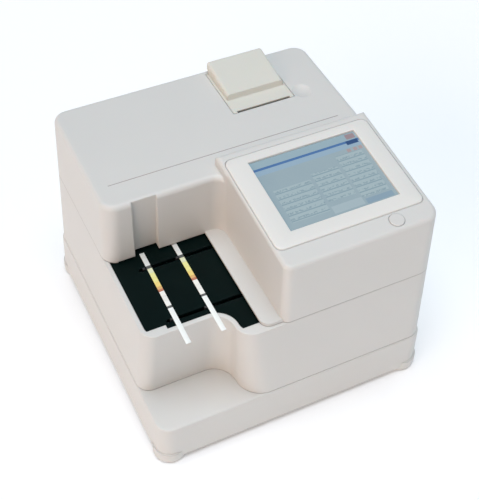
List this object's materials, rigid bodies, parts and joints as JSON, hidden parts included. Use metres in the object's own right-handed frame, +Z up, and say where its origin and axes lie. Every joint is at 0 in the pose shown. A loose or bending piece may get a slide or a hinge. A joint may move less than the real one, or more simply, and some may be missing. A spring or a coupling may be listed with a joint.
{
  "type": "urine analyzer",
  "caption": "Benchtop strip reader with stacked housings, an open strip table at the front left, a tilted screen, a ticket printer and a waste drawer.",
  "frame": {"origin": "on the table top, under the middle of the base", "axes": "+Z up, +Y to the rear, +X to the right as the user sees it"},
  "size_m": [0.2964, 0.2944, 0.2366],
  "materials": {
    "housing_plastic": "satin",
    "cover_plastic": "satin",
    "bezel_plastic": "satin",
    "table_plastic": "satin",
    "black_plastic": "satin",
    "tile_ceramic": "matt",
    "strip_film": "gloss",
    "pad_paper": "matt",
    "zinc_steel": "satin",
    "bright_steel": "polished",
    "motor_black": "satin",
    "pulley_aluminium": "satin",
    "rubber_black": "matt",
    "gear_plastic": "satin",
    "glass_clear": "clear",
    "display_glass": "satin",
    "board_green": "satin",
    "button_plastic": "satin",
    "thermal_paper": "matt",
    "core_board": "matt"
  },
  "bodies": {
    "housing": {"base_housing": "housing_plastic", "button_board": "board_green", "button_spring": "bright_steel", "chassis_plate": "zinc_steel", "chassis_screws": "bright_steel", "cover_hinge_pin": "bright_steel", "display_board": "board_green", "drawer_runners": "zinc_steel", "foot_pads": "rubber_black", "guide_rods": "bright_steel", "head_frame": "zinc_steel", "head_motor": "motor_black", "head_rod": "bright_steel", "housing_screws": "bright_steel", "idler_shaft": "bright_steel", "lcd_module": "display_glass", "main_board": "board_green", "middle_housing": "housing_plastic", "network_port": "bright_steel", "paper_bay": "black_plastic", "power_inlet": "black_plastic", "power_supply": "zinc_steel", "print_head": "black_plastic", "printer_frame": "zinc_steel", "printer_motor": "motor_black", "rear_panel": "zinc_steel", "reference_tile": "tile_ceramic", "roll_spindle": "black_plastic", "screen_bezel": "bezel_plastic", "serial_port": "bright_steel", "strip_table": "table_plastic", "switch_frame": "black_plastic", "tear_bar": "bright_steel", "top_housing": "housing_plastic", "touch_panel": "glass_clear", "transport_belt": "rubber_black", "transport_frame": "zinc_steel", "transport_motor": "motor_black"},
    "waste_drawer": {"drawer_front": "housing_plastic", "waste_bin": "black_plastic"},
    "strip_carriage": {"transport_carriage": "black_plastic", "test_strip_first": "strip_film", "test_strip_second": "strip_film", "strip_pads": "pad_paper"},
    "belt_drive": {"motor_pulley": "pulley_aluminium", "motor_shaft": "bright_steel"},
    "belt_idler": {"idler_pulley": "pulley_aluminium"},
    "optical_head": {"read_head": "black_plastic", "head_lens": "glass_clear"},
    "head_drive": {"head_screw": "bright_steel"},
    "ticket_cover": {"printer_cover": "cover_plastic"},
    "platen": {"platen_axle": "bright_steel", "platen_sleeve": "rubber_black", "platen_gear": "gear_plastic"},
    "feed_pinion": {"printer_pinion": "gear_plastic"},
    "ticket_roll": {"roll_core": "core_board", "paper_roll": "thermal_paper"},
    "button": {"standby_button": "button_plastic"},
    "rocker": {"power_rocker": "black_plastic"}
  },
  "joints": [
    {"name": "drawer_slide", "type": "slide", "parent": "housing", "child": "waste_drawer", "axis": [1, 0, 0], "range_m": [0, 0.055]},
    {"name": "carriage_slide", "type": "slide", "parent": "housing", "child": "strip_carriage", "axis": [1, 0, 0], "range_m": [0, 0.034]},
    {"name": "drive_pulley_spin", "type": "hinge", "parent": "housing", "child": "belt_drive", "pos_m": [0.044, -0.056, 0.108], "axis": [0, 1, 0], "range_deg": [0, 280]},
    {"name": "idler_pulley_spin", "type": "hinge", "parent": "housing", "child": "belt_idler", "pos_m": [-0.114, -0.056, 0.108], "axis": [0, 1, 0], "range_deg": [0, 280]},
    {"name": "head_slide", "type": "slide", "parent": "housing", "child": "optical_head", "axis": [0, -1, 0], "range_m": [0, 0.08]},
    {"name": "head_screw_spin", "type": "hinge", "parent": "housing", "child": "head_drive", "pos_m": [0.01, -0.062, 0.179], "axis": [0, 1, 0], "range_deg": [0, 1445]},
    {"name": "printer_cover_hinge", "type": "hinge", "parent": "housing", "child": "ticket_cover", "pos_m": [0.059, 0.1335, 0.2276], "axis": [-1, 0, 0], "range_deg": [0, 100]},
    {"name": "platen_spin", "type": "hinge", "parent": "housing", "child": "platen", "pos_m": [0.059, 0.0646, 0.208], "axis": [1, 0, 0], "continuous": true},
    {"name": "feed_pinion_spin", "type": "hinge", "parent": "housing", "child": "feed_pinion", "pos_m": [0.059, 0.0646, 0.1936], "axis": [1, 0, 0], "continuous": true},
    {"name": "paper_roll_spin", "type": "hinge", "parent": "housing", "child": "ticket_roll", "pos_m": [0.059, 0.103, 0.1995], "axis": [1, 0, 0], "continuous": true},
    {"name": "standby_button_press", "type": "slide", "parent": "housing", "child": "button", "axis": [0, 0.0819, -0.9966], "range_m": [0, 0.0012], "stiffness_N_per_m": 300, "springref_m": -0.001, "deforming": ["button_spring"]},
    {"name": "power_rocker_tilt", "type": "hinge", "parent": "housing", "child": "rocker", "pos_m": [-0.022, 0.1345, 0.094], "axis": [1, 0, 0], "range_deg": [0, 20]}
  ],
  "couplings": [
    {"joint": "drive_pulley_spin", "follows": "carriage_slide", "rad_per_m": 142.86},
    {"joint": "idler_pulley_spin", "follows": "carriage_slide", "rad_per_m": 142.86},
    {"joint": "head_screw_spin", "follows": "head_slide", "rad_per_m": 314.16},
    {"joint": "feed_pinion_spin", "follows": "platen_spin", "ratio": -2},
    {"joint": "paper_roll_spin", "follows": "platen_spin", "ratio": 0.1923}
  ]
}
